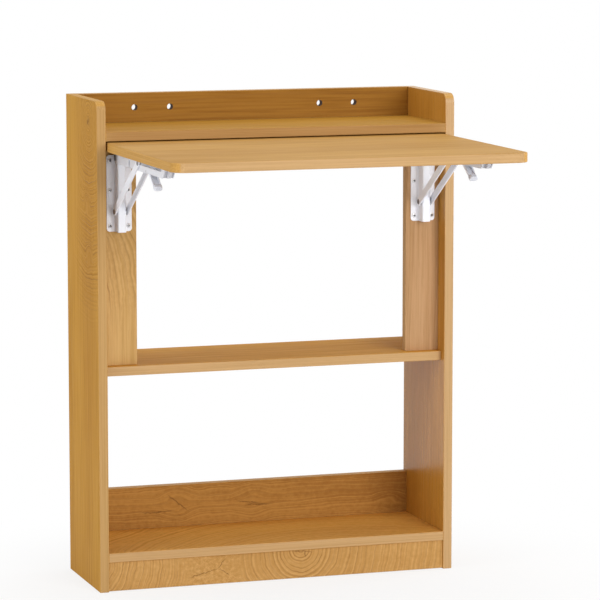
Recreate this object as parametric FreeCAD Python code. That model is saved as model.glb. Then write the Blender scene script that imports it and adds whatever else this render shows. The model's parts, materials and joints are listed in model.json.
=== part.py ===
import FreeCAD, Part
import math
import os

# Fold-down wall desk: an open shelf unit whose desk board swings up on two folding brackets.
# Millimetres. +Z is up, +Y points at the wall and X runs along the width, left being -X.
# The origin is on the floor, under the middle of the box round the unit with its desk board raised.

V = FreeCAD.Vector

# Boards of the shelf unit
overall_width = 600
carcass_depth = 193
carcass_height = 786
panel = 15
side_corner_radius = 15
board_arris = 0.6
top_rail_height = 48
upper_bay_height = 361
middle_shelf_setback = 15
bottom_shelf_top = 63
bottom_rail_height = 70
kick_setback = 3
kick_floor_gap = 1
post_width = 57
post_setback = 30

# Wall fixing holes in the top back rail, a pair near each end
wall_hole_radius = 5
wall_hole_inset = 96
wall_hole_spacing = 60

# Desk board
desk_reach = 376
desk_behind_hinge = 8
desk_side_gap = 2.5
desk_top_gap = 2
desk_corner_radius = 22
desk_edge_radius = 1.5

# Joinery: cams with their bolts, and dowels
cam_radius = 7.5
cam_height = 12
cam_backset = 34
cam_socket_radius = 2.5
cam_socket_depth = 3
bolt_radius = 2.5
bolt_in_face = 11
bolt_head_radius = 3.5
bolt_head_length = 3
bolt_passage_radius = 4
dowel_radius = 4
dowel_in_end = 19
dowel_in_face = 10
dowel_end_gap = 0.5
shelf_cam_shares = (0.35, 0.8)
shelf_dowel_share = 0.58
rail_cam_share = 0.36
rail_dowel_share = 0.72
post_dowel_shares = (0.25, 0.75)

# Clearances
fit_gap = 0.03
running_gap = 0.06
slide_gap = 0.3
lane_gap = 0.4
head_gap = 0.2
overrun = 2
tiny = 0.001

# Bracket base: a hat section screwed to the post
sheet = 1.6
bend_radius = 1.2
base_width = 41
base_height = 122
base_drop = 7
base_corner_radius = 5
channel_width = 14
channel_depth = 20

# Bracket pivots: the arm's hinge and the struts' lower pin
hinge_behind_channel_front = 8
hinge_below_desk = 11
hinge_pin_radius = 3
strut_pin_below_hinge = 85.5
strut_pin_radius = 2.5
spacer_radius = 4
rivet_head_height = 1.3
rivet_head_margin = 1.8

# Struts
strut_length = 167
strut_width = 12.4
strut_sheet = 2
strut_desk_gap = 0.6

# Arm: a channel under the desk board that closes over the base when folded
arm_depth = 19
arm_end_slant = 16
arm_corner_radius = 4
notch_gap = 0.6

# Slide block and its pin
slide_length = 20
slide_floor = 1.2
slide_pin_radius = 2.4
slide_corner_radius = 1.5
slot_gap = 0.2
slot_spare = 12

# Release lever
lever_from_hinge = 180.5
lever_below_hinge = 4.9
lever_rest_angle = 31
lever_width = 12.6
lever_sheet = 1.4
lever_bend_radius = 1
lever_eye_radius = 3.4
lever_pin_radius = 2
lever_web_start = 5.5
lever_shoulder = 14
lever_shoulder_radius = 4
lever_cheek_end = 4
lever_tongue_start = 36
lever_tongue_length = 7.5
lever_tongue_width = 8

# Lever grip
grip_length = 9.5
grip_width = 14
grip_height = 9
grip_drop = 1.2
grip_corner_radius = 4
grip_edge_radius = 2.8

# Arm end cap
cap_slide_gap = 2
cap_plug_length = 5.5
cap_setback = 2
cap_bottom_gap = 0.5
cap_nose_width = 5
cap_nose_reach = 6
cap_nose_radius = 2

# Screws
screw_radius = 2
base_screw_head_radius = 3.5
base_screw_head_height = 1.8
base_screw_length = 13
base_screw_spacing = 30
base_screw_end_margin = 9
base_screw_pitch = 47
arm_screw_head_radius = 3.6
arm_screw_length = 11
arm_screw_shares = (0.12, 0.37, 0.63, 0.9)

# Places worked out from the sizes above
total_depth = desk_reach + carcass_depth
front_y = desk_reach - total_depth / 2
back_y = front_y + carcass_depth
outer_x = overall_width / 2
inner_x = outer_x - panel
top_shelf_top = carcass_height - top_rail_height
top_shelf_bottom = top_shelf_top - panel
middle_shelf_top = top_shelf_bottom - upper_bay_height
bottom_shelf_bottom = bottom_shelf_top - panel
middle_shelf_front = front_y + middle_shelf_setback
post_face = front_y + post_setback
rail_face = back_y - panel
kick_face = front_y + kick_setback
desk_top = top_shelf_bottom - desk_top_gap
desk_bottom = desk_top - panel
desk_front = front_y - desk_reach
desk_x = inner_x - desk_side_gap

bracket_x = inner_x - post_width / 2
base_top = desk_bottom - base_drop
base_bottom = base_top - base_height
channel_x = channel_width / 2
arm_inner_x = channel_x + lane_gap
arm_x = arm_inner_x + sheet
strut_inner_x = arm_x + lane_gap
strut_outer_x = strut_inner_x + strut_sheet
hinge_y = post_face - channel_depth + hinge_behind_channel_front
hinge_z = desk_bottom - hinge_below_desk
desk_rear = hinge_y + desk_behind_hinge
strut_pin_z = hinge_z - strut_pin_below_hinge
slide_above_hinge = hinge_below_desk - strut_width / 2 - strut_desk_gap
slide_z = hinge_z + slide_above_hinge
slide_rest = math.sqrt(strut_length ** 2 - (strut_pin_below_hinge + slide_above_hinge) ** 2)
slide_folded = strut_pin_below_hinge + math.sqrt(strut_length ** 2 - slide_above_hinge ** 2)
cap_rear = slide_folded + slide_length / 2 + cap_slide_gap
arm_length = cap_rear + cap_plug_length + cap_setback + arm_end_slant
lever_y = hinge_y - lever_from_hinge
lever_z = hinge_z - lever_below_hinge


# Shape helpers

def rounded_corner(before, corner, after, radius):
    """Start, middle and end of the arc that rounds one corner of an outline."""
    back = (before - corner).normalize()
    ahead = (after - corner).normalize()
    half_angle = back.getAngle(ahead) / 2
    inward = (back + ahead).normalize()
    trim = radius / math.tan(half_angle)
    middle = corner + inward * (radius / math.sin(half_angle) - radius)
    return corner + back * trim, middle, corner + ahead * trim


def rectangle(u0, u1, v0, v1, radius):
    """Corners of an upright rectangle, all rounded alike."""
    return [(u0, v0, radius), (u1, v0, radius), (u1, v1, radius), (u0, v1, radius)]


def outline(corners, place):
    """Face inside an outline of corners (u, v, radius); place puts a flat point into space."""
    spots = [V(u, v, 0) for u, v, radius in corners]
    arcs = []
    for i, (u, v, radius) in enumerate(corners):
        if radius:
            arcs.append(rounded_corner(spots[i - 1], spots[i], spots[(i + 1) % len(spots)], radius))
        else:
            arcs.append((spots[i], None, spots[i]))
    edges = []
    for i, (start, middle, end) in enumerate(arcs):
        last = arcs[i - 1][2]
        if last.distanceToPoint(start) > tiny:
            edges.append(Part.LineSegment(place(last), place(start)).toShape())
        if middle:
            edges.append(Part.Arc(place(start), place(middle), place(end)).toShape())
    return Part.Face(Part.Wire(edges))


def slab_x(corners, x0, x1):
    """Outline in (y, z), run from x0 to x1."""
    return outline(corners, lambda p: V(x0, p.x, p.y)).extrude(V(x1 - x0, 0, 0))


def slab_y(corners, y0, y1):
    """Outline in (x, z), run from y0 to y1."""
    return outline(corners, lambda p: V(p.x, y0, p.y)).extrude(V(0, y1 - y0, 0))


def slab_z(corners, z0, z1):
    """Outline in (x, y), run from z0 to z1."""
    return outline(corners, lambda p: V(p.x, p.y, z0)).extrude(V(0, 0, z1 - z0))


def block(x0, x1, y0, y1, z0, z1):
    return Part.makeBox(x1 - x0, y1 - y0, z1 - z0, V(x0, y0, z0))


def rod(start, run, radius):
    return Part.makeCylinder(radius, run.Length, start, run)


def cross_rod(centre_x, half_length, y, z, radius):
    """Rod along X, centred on a bracket's middle plane."""
    return rod(V(centre_x - half_length, y, z), V(2 * half_length, 0, 0), radius)


def joined(pieces):
    return pieces[0].fuse(pieces[1:]).removeSplitter()


def eased(board):
    """Board with a fine arris along every edge."""
    return board.makeChamfer(board_arris, board.Edges)


def arm_point(from_hinge, below_hinge, radius=0):
    """Corner of a side-view outline, measured along the raised arm from its hinge."""
    return hinge_y - from_hinge, hinge_z - below_hinge, radius


# Joinery: each fitting adds its solid and the bores that it sits in

fittings = {"cam_locks": [], "cam_bolts": [], "wooden_dowels": []}
bores = {}


def bore(board, tool):
    bores.setdefault(board, []).append(tool)


def bored(name, board):
    return board.cut(bores[name]) if name in bores else board


def add_dowel(board, other, spot, outward):
    """Dowel across a joint: outward points from the end of board into the face of other."""
    fittings["wooden_dowels"].append(
        rod(spot - outward * dowel_in_end, outward * (dowel_in_end + dowel_in_face), dowel_radius))
    bore(board, rod(spot, outward * -(dowel_in_end + dowel_end_gap), dowel_radius + fit_gap))
    bore(other, rod(spot, outward * (dowel_in_face + dowel_end_gap), dowel_radius + fit_gap))


def add_cam(board, other, spot, outward, cam_side):
    """Cam in board that draws up a bolt set in other; it is turned from the face at cam_side."""
    centre = spot - outward * cam_backset
    mouth = centre + cam_side * (panel / 2)
    head_start = centre - outward * (bolt_head_length / 2)
    cam = rod(mouth, cam_side * -cam_height, cam_radius)
    head_pocket = rod(head_start - outward * slide_gap, outward * (cam_radius + overrun),
                      bolt_head_radius + slide_gap)
    socket = rod(mouth, cam_side * -cam_socket_depth, cam_socket_radius)
    fittings["cam_locks"].append(cam.cut([head_pocket, socket]))
    shank = rod(centre, outward * (cam_backset + bolt_in_face), bolt_radius)
    head = rod(head_start, outward * bolt_head_length, bolt_head_radius)
    fittings["cam_bolts"].append(joined([shank, head]))
    bore(board, rod(mouth, cam_side * -(cam_height + fit_gap), cam_radius + fit_gap))
    bore(board, rod(spot, outward * -cam_backset, bolt_passage_radius))
    bore(other, rod(spot, outward * (bolt_in_face + dowel_end_gap), bolt_radius + fit_gap))


def add_shelf_joints(name, front, shelf_top):
    depth = back_y - front
    middle = shelf_top - panel / 2
    for side, sign in (("left_side_panel", -1), ("right_side_panel", 1)):
        outward = V(sign, 0, 0)
        for share in shelf_cam_shares:
            add_cam(name, side, V(sign * inner_x, front + share * depth, middle), outward, V(0, 0, -1))
        add_dowel(name, side, V(sign * inner_x, front + shelf_dowel_share * depth, middle), outward)


def add_rail_joints(name, face, bottom, height):
    middle = face + panel / 2
    for side, sign in (("left_side_panel", -1), ("right_side_panel", 1)):
        outward = V(sign, 0, 0)
        cam_spot = V(sign * inner_x, middle, bottom + rail_cam_share * height)
        add_cam(name, side, cam_spot, outward, V(0, 1, 0))
        add_dowel(name, side, V(sign * inner_x, middle, bottom + rail_dowel_share * height), outward)


def add_post_joints(name, sign):
    middle = post_face + panel / 2
    for share in post_dowel_shares:
        x = sign * (inner_x - share * post_width)
        add_dowel(name, "top_shelf", V(x, middle, top_shelf_bottom), V(0, 0, 1))
        add_dowel(name, "middle_shelf", V(x, middle, middle_shelf_top), V(0, 0, -1))


# Boards

def side_panel(sign):
    corners = [(front_y, 0, 0), (front_y, carcass_height, side_corner_radius),
               (back_y, carcass_height, 0), (back_y, 0, 0)]
    return eased(slab_x(corners, sign * inner_x, sign * outer_x))


def shelf(front, shelf_top):
    return eased(block(-inner_x, inner_x, front, back_y, shelf_top - panel, shelf_top))


def rail(face, bottom, height):
    return eased(block(-inner_x, inner_x, face, face + panel, bottom, bottom + height))


def wall_hole_places():
    """X of each wall fixing hole, from left to right."""
    outer = inner_x - wall_hole_inset
    inner = outer - wall_hole_spacing
    return [-outer, -inner, inner, outer]


def top_back_rail():
    board = rail(rail_face, top_shelf_top, top_rail_height)
    middle = top_shelf_top + top_rail_height / 2
    holes = [rod(V(x, rail_face - overrun, middle), V(0, panel + 2 * overrun, 0), wall_hole_radius)
             for x in wall_hole_places()]
    return board.cut(holes)


def bracket_post(sign):
    x0, x1 = sorted((sign * inner_x, sign * (inner_x - post_width)))
    return eased(block(x0, x1, post_face, post_face + panel, middle_shelf_top, top_shelf_bottom))


def desk_board():
    corners = [(-desk_x, desk_rear, 0), (-desk_x, desk_front, desk_corner_radius),
               (desk_x, desk_front, desk_corner_radius), (desk_x, desk_rear, 0)]
    board = slab_z(corners, desk_bottom, desk_top)
    rims = [edge for edge in board.Edges if edge.BoundBox.ZLength < tiny]
    board = board.makeFillet(desk_edge_radius, rims)
    return board.cut([arm_screw_bore(x, y) for x, y in arm_screw_places()])


# Bracket base and the pieces fixed to it

def base_screw_places(x):
    """X and Z of the six screws of the bracket whose middle plane is at x."""
    top = base_top - base_screw_end_margin
    heights = (top, top - base_screw_pitch, base_bottom + base_screw_end_margin)
    return [(x + hand * base_screw_spacing / 2, z) for hand in (-1, 1) for z in heights]


def bracket_base(x):
    """Hat section with rounded flange corners, screw holes and pin holes."""
    half, wall = base_width / 2, channel_x - sheet
    inside, outside = bend_radius, bend_radius + sheet
    flange, crest = post_face - sheet, post_face - channel_depth
    corners = [(x - half, post_face, 0), (x - half, flange, 0), (x - channel_x, flange, inside),
               (x - channel_x, crest, outside), (x + channel_x, crest, outside),
               (x + channel_x, flange, inside), (x + half, flange, 0), (x + half, post_face, 0),
               (x + wall, post_face, outside), (x + wall, crest + sheet, inside),
               (x - wall, crest + sheet, inside), (x - wall, post_face, outside)]
    hat = slab_z(corners, base_bottom, base_top)
    plate = rectangle(x - half, x + half, base_bottom, base_top, base_corner_radius)
    hat = hat.common(slab_y(plate, crest - overrun, post_face + overrun))
    holes = [rod(V(px, flange - overrun, pz), V(0, sheet + 2 * overrun, 0), screw_radius + running_gap)
             for px, pz in base_screw_places(x)]
    holes.append(cross_rod(x, channel_width, hinge_y, hinge_z, hinge_pin_radius + fit_gap))
    holes.append(cross_rod(x, channel_width, hinge_y, strut_pin_z, strut_pin_radius + fit_gap))
    return hat.cut(holes)


def base_screws(x):
    screws = []
    for px, pz in base_screw_places(x):
        seat = post_face - sheet
        head = rod(V(px, seat, pz), V(0, -base_screw_head_height, 0), base_screw_head_radius)
        shank = rod(V(px, seat, pz), V(0, base_screw_length, 0), screw_radius)
        screws.append(joined([head, shank]))
    return screws


def post_screw_bores(x):
    depth = base_screw_length - sheet + dowel_end_gap
    return [rod(V(px, post_face, pz), V(0, depth, 0), screw_radius + fit_gap)
            for px, pz in base_screw_places(x)]


def rivet(x, half_grip, y, z, radius):
    """Pin along X with a low head beyond each end of its grip."""
    head_radius = radius + rivet_head_margin
    half_length = half_grip + head_gap + rivet_head_height
    shank = cross_rod(x, half_length, y, z, radius)
    heads = [rod(V(x + hand * half_length, y, z), V(-hand * rivet_head_height, 0, 0), head_radius)
             for hand in (-1, 1)]
    return joined([shank] + heads)


def strut_spacers(x):
    """Sleeves that hold the struts out from the channel, where the arm's walls close in between."""
    sleeves = []
    for hand in (-1, 1):
        start = V(x + hand * (channel_x + head_gap / 2), hinge_y, strut_pin_z)
        run = V(hand * (strut_inner_x - channel_x - head_gap), 0, 0)
        sleeves.append(rod(start, run, spacer_radius).cut(rod(start, run, strut_pin_radius + fit_gap)))
    return sleeves


# Arm and the pieces fixed to it

def arm_screw_places():
    return [(sign * bracket_x, hinge_y - share * arm_length)
            for sign in (-1, 1) for share in arm_screw_shares]


def arm_screw_bore(x, y):
    depth = arm_screw_length - sheet + dowel_end_gap
    return rod(V(x, y, desk_bottom), V(0, 0, depth), screw_radius + fit_gap)


def countersink(x, y, gap):
    return Part.makeCone(arm_screw_head_radius + gap, screw_radius + gap, sheet,
                         V(x, y, desk_bottom - sheet), V(0, 0, 1))


def arm_screws(x):
    screws = []
    for px, py in arm_screw_places():
        if px == x:
            shank = rod(V(px, py, desk_bottom - sheet), V(0, 0, arm_screw_length), screw_radius)
            screws.append(joined([countersink(px, py, 0), shank]))
    return screws


def arm_end(below_hinge):
    """Distance from the hinge to the arm's slanted front end, at a height below the hinge."""
    return arm_length - arm_end_slant * (below_hinge + hinge_below_desk) / arm_depth


def arm_side_view():
    """Side outline of the arm: round about the hinge, slanted at the front."""
    top, deep = -hinge_below_desk, arm_depth - hinge_below_desk
    return [arm_point(-deep, top), arm_point(arm_end(top), top),
            arm_point(arm_end(deep), deep, arm_corner_radius), arm_point(-deep, deep, deep)]


def bracket_arm(x):
    """Channel that opens downwards, with a notch for the strut pin and a long slot for the slide pin."""
    bottom = desk_bottom - arm_depth
    inside, outside = bend_radius, bend_radius + sheet
    section = [(x - arm_x, bottom, 0), (x - arm_x, desk_bottom, outside), (x + arm_x, desk_bottom, outside),
               (x + arm_x, bottom, 0), (x + arm_inner_x, bottom, 0),
               (x + arm_inner_x, desk_bottom - sheet, inside),
               (x - arm_inner_x, desk_bottom - sheet, inside), (x - arm_inner_x, bottom, 0)]
    arm = slab_y(section, hinge_y + arm_depth, hinge_y - arm_length)
    arm = arm.common(slab_x(arm_side_view(), x - arm_x - overrun, x + arm_x + overrun))
    x0, x1 = x - arm_x - overrun, x + arm_x + overrun
    half_notch = spacer_radius + notch_gap
    notch = [arm_point(strut_pin_below_hinge - half_notch, arm_depth),
             arm_point(strut_pin_below_hinge - half_notch, -half_notch, half_notch),
             arm_point(strut_pin_below_hinge + half_notch, -half_notch, half_notch),
             arm_point(strut_pin_below_hinge + half_notch, arm_depth)]
    half_slot = slide_pin_radius + slot_gap
    slot_start, slot_end = slide_rest - half_slot, slide_folded + slot_spare + half_slot
    high, low = -slide_above_hinge - half_slot, half_slot - slide_above_hinge
    slot = [arm_point(slot_start, low, half_slot), arm_point(slot_start, high, half_slot),
            arm_point(slot_end, high, half_slot), arm_point(slot_end, low, half_slot)]
    cuts = [slab_x(notch, x0, x1), slab_x(slot, x0, x1),
            cross_rod(x, arm_x + overrun, hinge_y, hinge_z, hinge_pin_radius + running_gap),
            cross_rod(x, arm_x + overrun, lever_y, lever_z, lever_pin_radius + fit_gap)]
    cuts += [countersink(px, py, fit_gap) for px, py in arm_screw_places() if px == x]
    return arm.cut(cuts)


def channel_filler(x, top, bottom, y0, y1, radius):
    """Block that fits between the arm's walls, its corners eased to clear the bends."""
    half = arm_inner_x - slide_gap
    return slab_y(rectangle(x - half, x + half, bottom, top, radius), y0, y1)


def arm_end_cap(x):
    """Plastic plug inside the arm's slanted front end, with a narrow nose that stands out of it."""
    top = sheet + slide_gap - hinge_below_desk
    low = arm_depth - cap_bottom_gap - hinge_below_desk
    plug_view = [arm_point(cap_rear, top), arm_point(arm_end(top) - cap_setback, top),
                 arm_point(arm_end(low) - cap_setback, low), arm_point(cap_rear, low)]
    plug = channel_filler(x, hinge_z - top, hinge_z - low, hinge_y - arm_length, hinge_y - cap_rear,
                          slide_corner_radius).common(slab_x(plug_view, x - arm_x, x + arm_x))
    nose_view = [arm_point(cap_rear, top), arm_point(arm_end(top) + cap_nose_reach, top),
                 arm_point(arm_end(low) + cap_nose_reach, low, cap_nose_radius), arm_point(cap_rear, low)]
    nose = slab_x(nose_view, x - cap_nose_width / 2, x + cap_nose_width / 2)
    return joined([plug, nose])


# Moving pieces of the bracket

def strut(x, hand):
    """Flat bar from the strut pin up to the slide pin, on one side of the bracket."""
    lower = V(hinge_y, strut_pin_z, 0)
    upper = V(hinge_y - slide_rest, slide_z, 0)
    half = strut_width / 2
    ahead = (upper - lower).normalize() * half
    aside = V(-ahead.y, ahead.x, 0)
    ends = [lower - ahead - aside, upper + ahead - aside, upper + ahead + aside, lower - ahead + aside]
    corners = [(end.x, end.y, half) for end in ends]
    bar = slab_x(corners, x + hand * strut_inner_x, x + hand * strut_outer_x)
    lower_eye = cross_rod(x, strut_outer_x + overrun, hinge_y, strut_pin_z, strut_pin_radius + running_gap)
    upper_eye = cross_rod(x, strut_outer_x + overrun, hinge_y - slide_rest, slide_z,
                          slide_pin_radius + fit_gap)
    return bar.cut([lower_eye, upper_eye])


def strut_rivets(x):
    """Headed rivets in the struts' upper eyes, in line with the slide pin."""
    y, rivets = hinge_y - slide_rest, []
    for hand in (-1, 1):
        shank = rod(V(x + hand * strut_inner_x, y, slide_z), V(hand * strut_sheet, 0, 0), slide_pin_radius)
        head = rod(V(x + hand * strut_outer_x, y, slide_z), V(hand * rivet_head_height, 0, 0),
                   slide_pin_radius + rivet_head_margin)
        rivets.append(joined([shank, head]))
    return rivets


def slide_block(x):
    y = hinge_y - slide_rest
    top = desk_bottom - sheet - slide_gap
    bottom = slide_z - slide_pin_radius - slide_floor
    body = channel_filler(x, top, bottom, y - slide_length / 2, y + slide_length / 2, slide_corner_radius)
    return body.cut(cross_rod(x, arm_x, y, slide_z, slide_pin_radius + fit_gap))


def slide_pin(x):
    return cross_rod(x, arm_x, hinge_y - slide_rest, slide_z, slide_pin_radius)


def lever_point(from_pin, below_pin, radius=0):
    """Corner of a side-view outline of the lever, laid flat along the arm."""
    return lever_y - from_pin, lever_z - below_pin, radius


def lowered(shape, x):
    """Lever piece turned from flat along the arm to its hanging place."""
    return shape.rotate(V(x, lever_y, lever_z), V(1, 0, 0), lever_rest_angle)


def release_lever(x):
    """Pressed channel open towards the desk, its cheeks running out into a tongue for the grip."""
    half, eye = lever_width / 2, lever_eye_radius
    inside, outside = lever_bend_radius, lever_bend_radius + lever_sheet
    top, bottom, wall = lever_z + eye, lever_z - eye, half - lever_sheet
    section = [(x - half, top, 0), (x - half, bottom, outside), (x + half, bottom, outside),
               (x + half, top, 0), (x + wall, top, 0), (x + wall, bottom + lever_sheet, inside),
               (x - wall, bottom + lever_sheet, inside), (x - wall, top, 0)]
    tip = lever_tongue_start + lever_tongue_length
    lever = slab_y(section, lever_y + eye, lever_y - tip)
    side = [lever_point(-eye, -eye, eye), lever_point(lever_shoulder, -eye, lever_shoulder_radius),
            lever_point(lever_tongue_start, eye - lever_cheek_end),
            lever_point(lever_tongue_start, eye - lever_sheet), lever_point(tip, eye - lever_sheet),
            lever_point(tip, eye), lever_point(-eye, eye, eye)]
    lever = lever.common(slab_x(side, x - lever_width, x + lever_width))
    low, high = bottom - overrun, top + overrun
    cuts = [block(x - wall, x + wall, lever_y - lever_web_start, lever_y + eye + overrun, low, high),
            cross_rod(x, lever_width, lever_y, lever_z, lever_pin_radius + running_gap)]
    for hand in (-1, 1):
        x0, x1 = sorted((x + hand * lever_tongue_width / 2, x + hand * lever_width))
        cuts.append(block(x0, x1, lever_y - tip - overrun, lever_y - lever_tongue_start, low, high))
    return lowered(lever.cut(cuts), x)


def lever_grip(x):
    """Rounded plastic knob on the lever's tongue."""
    root, middle = lever_y - lever_tongue_start - slide_gap, lever_z - grip_drop
    half_width, half_height = grip_width / 2, grip_height / 2
    oval = rectangle(x - half_width, x + half_width, middle - half_height, middle + half_height,
                     grip_corner_radius)
    knob = slab_y(oval, root, root - grip_length)
    rims = [edge for edge in knob.Edges if edge.BoundBox.YLength < tiny]
    knob = knob.makeFillet(grip_edge_radius, rims)
    half = lever_tongue_width / 2 + fit_gap
    tongue_tip = lever_y - lever_tongue_start - lever_tongue_length - fit_gap
    tongue_low = lever_z - lever_eye_radius
    pocket = block(x - half, x + half, tongue_tip, root + overrun, tongue_low - fit_gap,
                   tongue_low + lever_sheet + fit_gap)
    return lowered(knob.cut(pocket), x)


def lever_pin(x):
    return cross_rod(x, arm_x, lever_y, lever_z, lever_pin_radius)


# Assembly

def bracket_parts(side, x):
    solids = {
        "bracket_base": bracket_base(x),
        "base_screws": base_screws(x),
        "hinge_pin": rivet(x, arm_x, hinge_y, hinge_z, hinge_pin_radius),
        "strut_pin": rivet(x, strut_outer_x, hinge_y, strut_pin_z, strut_pin_radius),
        "strut_spacers": strut_spacers(x),
        "bracket_arm": bracket_arm(x),
        "arm_screws": arm_screws(x),
        "arm_end_cap": arm_end_cap(x),
        "left_strut": strut(x, -1),
        "right_strut": strut(x, 1),
        "strut_rivets": strut_rivets(x),
        "slide_block": slide_block(x),
        "slide_pin": slide_pin(x),
        "release_lever": release_lever(x),
        "lever_grip": lever_grip(x),
        "lever_pin": lever_pin(x),
    }
    return {side + "_bracket_" + name.replace("bracket_", ""): solid for name, solid in solids.items()}


def carcass_parts():
    add_shelf_joints("top_shelf", front_y, top_shelf_top)
    add_shelf_joints("middle_shelf", middle_shelf_front, middle_shelf_top)
    add_shelf_joints("bottom_shelf", front_y, bottom_shelf_top)
    add_rail_joints("top_back_rail", rail_face, top_shelf_top, top_rail_height)
    add_rail_joints("bottom_back_rail", rail_face, bottom_shelf_top, bottom_rail_height)
    add_rail_joints("kick_board", kick_face, kick_floor_gap, bottom_shelf_bottom - kick_floor_gap)
    for side, sign in (("left", -1), ("right", 1)):
        add_post_joints(side + "_bracket_post", sign)
        for tool in post_screw_bores(sign * bracket_x):
            bore(side + "_bracket_post", tool)
    boards = {
        "left_side_panel": side_panel(-1),
        "right_side_panel": side_panel(1),
        "top_shelf": shelf(front_y, top_shelf_top),
        "middle_shelf": shelf(middle_shelf_front, middle_shelf_top),
        "bottom_shelf": shelf(front_y, bottom_shelf_top),
        "top_back_rail": top_back_rail(),
        "bottom_back_rail": rail(rail_face, bottom_shelf_top, bottom_rail_height),
        "kick_board": rail(kick_face, kick_floor_gap, bottom_shelf_bottom - kick_floor_gap),
        "left_bracket_post": bracket_post(-1),
        "right_bracket_post": bracket_post(1),
    }
    return {name: bored(name, board) for name, board in boards.items()}


def all_parts():
    parts = carcass_parts()
    parts.update(fittings)
    parts["desk_board"] = desk_board()
    parts.update(bracket_parts("left", -bracket_x))
    parts.update(bracket_parts("right", bracket_x))
    return parts


parts = all_parts()
os.makedirs("parts", exist_ok=True)
for node, solid in parts.items():
    shape = Part.makeCompound(solid) if isinstance(solid, list) else solid
    shape.exportStep("parts/" + node + ".step")
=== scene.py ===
import bmesh
import bpy
import functools
import json
import math
from mathutils import Matrix, Vector


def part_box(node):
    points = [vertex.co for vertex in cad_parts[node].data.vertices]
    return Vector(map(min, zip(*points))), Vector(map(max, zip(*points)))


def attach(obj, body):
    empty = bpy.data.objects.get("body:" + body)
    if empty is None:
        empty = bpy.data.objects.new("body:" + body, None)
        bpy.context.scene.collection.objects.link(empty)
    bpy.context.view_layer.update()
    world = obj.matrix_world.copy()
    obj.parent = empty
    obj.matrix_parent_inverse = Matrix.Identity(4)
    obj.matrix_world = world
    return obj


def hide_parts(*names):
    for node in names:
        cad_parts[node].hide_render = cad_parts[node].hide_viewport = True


# Fold-down wall desk: looks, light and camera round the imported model.
# Metres, in the model's own frame: +Z up, +Y to the wall, +X to the right.

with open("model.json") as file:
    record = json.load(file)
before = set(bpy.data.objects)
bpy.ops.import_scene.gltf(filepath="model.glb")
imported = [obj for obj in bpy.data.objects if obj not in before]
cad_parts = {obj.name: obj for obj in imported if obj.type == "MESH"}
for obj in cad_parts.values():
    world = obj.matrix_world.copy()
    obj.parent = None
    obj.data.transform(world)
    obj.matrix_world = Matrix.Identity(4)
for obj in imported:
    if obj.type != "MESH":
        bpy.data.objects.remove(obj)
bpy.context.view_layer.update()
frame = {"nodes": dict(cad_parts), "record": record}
nodes = frame["nodes"]
scene = bpy.context.scene
SIDES = ("left", "right")


def srgb(red, green, blue):
    """Linear colour of a display colour given from 0 to 255."""
    def linear(level):
        share = level / 255
        return share / 12.92 if share <= 0.04045 else ((share + 0.055) / 1.055) ** 2.4
    return (linear(red), linear(green), linear(blue), 1.0)


# Oak decor: pale and deep shade of each kind of board; boards marked below are lightened as painted light or
# darkened as painted shade
SIDE_TONE = (srgb(190, 139, 45), srgb(172, 120, 32))
INNER_TONE = (srgb(194, 141, 62), srgb(173, 119, 42))
# Kick board paler: partly its own decor, partly painted sheen
FRONT_SHEEN_TONE = (srgb(200, 156, 95), srgb(181, 136, 75))
# Left post paler: partly the post's own decor, partly painted sheen
LEFT_POST_SHEEN_TONE = (srgb(203, 164, 105), srgb(187, 147, 87))
# Same oak as the left post, darkened as painted shade
RIGHT_POST_SHADED_TONE = (srgb(187, 148, 107), srgb(169, 130, 88))
# Bottom shelf lightened: painted light in the lower bay
BOTTOM_SHELF_LIT_TONE = (srgb(214, 160, 76), srgb(196, 140, 60))
# Middle shelf lightened further: painted light on the shelf under the desk
MIDDLE_SHELF_LIT_TONE = (srgb(220, 164, 64), srgb(202, 144, 50))
# Top shelf darkened: painted shade on the top tray
TOP_SHELF_SHADED_TONE = (srgb(182, 134, 48), srgb(164, 116, 37))
DESK_TONE = (srgb(194, 150, 82), srgb(178, 133, 66))
# Bottom rail darker: partly the board's own tone, partly painted shade at the back of the low bay
BOTTOM_RAIL_DECOR_AND_SHADE_TONE = (srgb(180, 130, 62), srgb(152, 103, 44))
# Top rail darkened: painted shade on the top tray
TOP_RAIL_SHADED_TONE = (srgb(156, 108, 36), srgb(134, 88, 26))
BEECH_TONE = (srgb(214, 178, 130), srgb(192, 152, 104))

# Edge bands, some darkened or made more golden as painted shade, and what shows in lines, splits and bores
EDGE_TONE = (srgb(193, 156, 109), srgb(182, 145, 97))
# Edge band of the left side, darkened as painted shade
LEFT_SIDE_EDGE_SHADED_TONE = (srgb(187, 149, 96), srgb(175, 137, 84))
# Top shelf's edge band darkened: painted shade on the top tray
TOP_EDGE_SHADED_TONE = (srgb(177, 137, 85), srgb(165, 125, 73))
# More golden band on end faces: painted warm shade
END_WARM_SHADE_TONE = (srgb(197, 152, 82), srgb(184, 138, 68))
OAK_LINE = srgb(118, 74, 30)
OAK_SPLIT = srgb(84, 48, 20)
CORE = srgb(112, 78, 48)

# Metal and plastic
COAT_WHITE = srgb(236, 239, 247)
# Darker copy of the white coat for the arms: painted shade
COAT_ARM_SHADED = srgb(216, 219, 227)
COAT_WORN = srgb(198, 200, 208)
ZINC_TONE = (srgb(212, 213, 214), srgb(166, 166, 166))
SCREW_TONE = (srgb(240, 240, 242), srgb(222, 222, 224))
# Rivets darker than bare steel: partly the steel's tone, partly a painted dim reflection
RIVET_STEEL_DIM_REFLECTION_TONE = (srgb(136, 134, 136), srgb(98, 96, 98))
# Painted shade in the hollows of plated steel
HOLLOW_PAINTED_SHADE = srgb(34, 32, 34)
CAP_TONE = (srgb(201, 202, 209), srgb(187, 188, 195))
GRIP_TONE = (srgb(224, 227, 235), srgb(206, 209, 218))
SLIDE_TONE = (srgb(224, 226, 230), srgb(206, 208, 212))


# Shader building blocks

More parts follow.
